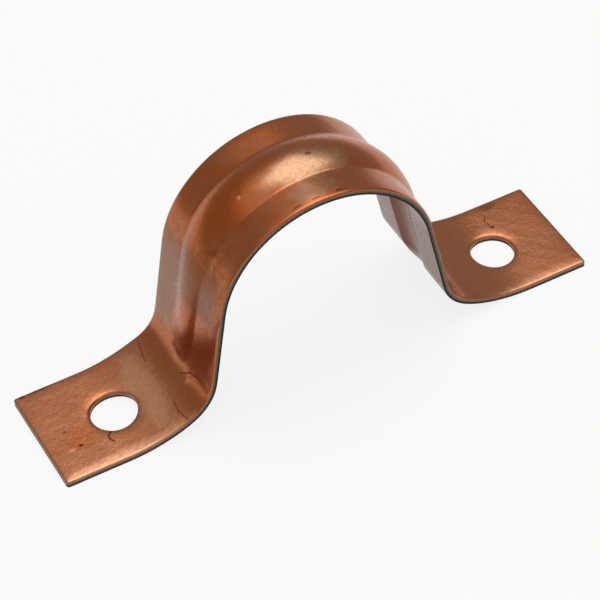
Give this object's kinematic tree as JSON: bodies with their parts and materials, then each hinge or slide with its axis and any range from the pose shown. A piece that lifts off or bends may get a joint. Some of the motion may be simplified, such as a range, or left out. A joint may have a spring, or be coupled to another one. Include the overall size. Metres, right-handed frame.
{
  "type": "pipe strap",
  "caption": "Copper-plated steel strap stamped from one sheet, with a beaded saddle over a pipe, straight legs and a punched ear on each side for screwing it to a wall or joist.",
  "frame": {"origin": "middle of the strap, on the plane that the undersides of the two ears rest on", "axes": "+X along the strap from one ear to the other, +Y along the pipe's axis, +Z from the wall through the pipe to the crown"},
  "size_m": [0.0582, 0.0126, 0.0242],
  "materials": {
    "copper_plated_steel": "thin copper plating over steel sheet, satin and lightly stained, with bare steel on the sheared edges"
  },
  "bodies": {
    "root": {"strap": "copper_plated_steel"}
  },
  "joints": []
}
